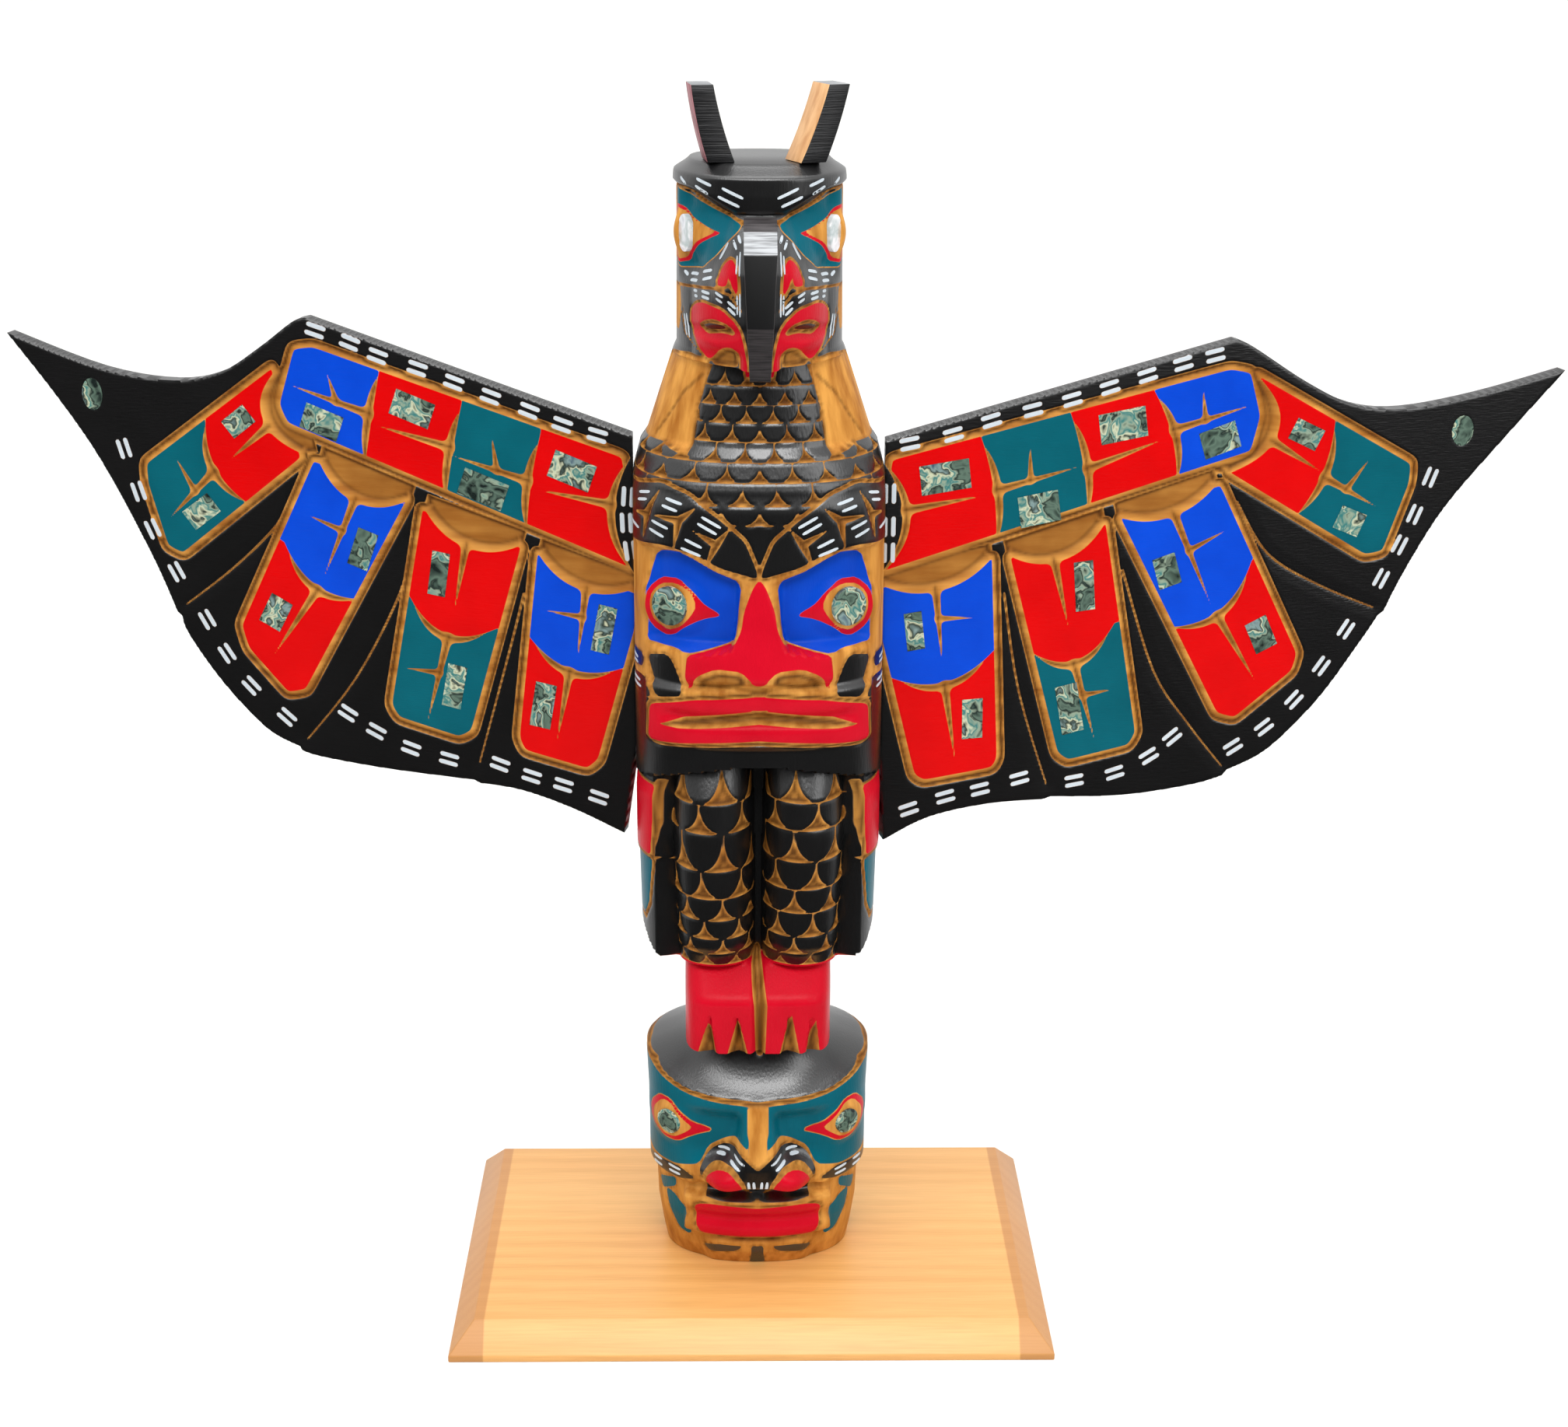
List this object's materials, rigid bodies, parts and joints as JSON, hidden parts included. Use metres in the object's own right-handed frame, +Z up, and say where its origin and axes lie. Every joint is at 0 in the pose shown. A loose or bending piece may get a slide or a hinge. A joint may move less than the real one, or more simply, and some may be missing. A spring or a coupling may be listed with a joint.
{
  "type": "carved totem pole",
  "caption": "Carved and painted wooden totem pole: a horned bird with spread inlaid wings above a face, legs and a lower face, standing on a chamfered board.",
  "frame": {"origin": "point on the base board's flat underside, straight below the axis of the pole", "axes": "+Z up along the pole, -Y towards the front of the faces, +X towards the viewer's right along the wings"},
  "size_m": [0.9034, 0.235, 0.7116],
  "materials": {
    "cedar": "carved and stained, painted in black, red, teal and blue satin",
    "board": "clear satin varnish",
    "black_paint": "black satin paint",
    "abalone": "polished abalone shell",
    "pale_shell": "polished pale shell"
  },
  "bodies": {
    "root": {"base": "board", "beak": "black_paint", "bird_eye_left": "pale_shell", "bird_eye_right": "pale_shell", "face_eye_left": "abalone", "face_eye_right": "abalone", "horn_left": "black_paint", "horn_right": "black_paint", "lower_eye_left": "abalone", "lower_eye_right": "abalone", "pole": "cedar", "shell_left_band_1": "abalone", "shell_left_band_2": "abalone", "shell_left_band_3": "abalone", "shell_left_band_4": "abalone", "shell_left_feather_1a": "abalone", "shell_left_feather_1b": "abalone", "shell_left_feather_2a": "abalone", "shell_left_feather_2b": "abalone", "shell_left_feather_3a": "abalone", "shell_left_feather_3b": "abalone", "shell_left_feather_4a": "abalone", "shell_left_feather_4b": "abalone", "shell_left_tip": "abalone", "shell_right_band_1": "abalone", "shell_right_band_2": "abalone", "shell_right_band_3": "abalone", "shell_right_band_4": "abalone", "shell_right_feather_1a": "abalone", "shell_right_feather_1b": "abalone", "shell_right_feather_2a": "abalone", "shell_right_feather_2b": "abalone", "shell_right_feather_3a": "abalone", "shell_right_feather_3b": "abalone", "shell_right_feather_4a": "abalone", "shell_right_feather_4b": "abalone", "shell_right_tip": "abalone", "wing_left": "cedar", "wing_right": "cedar"}
  },
  "joints": []
}
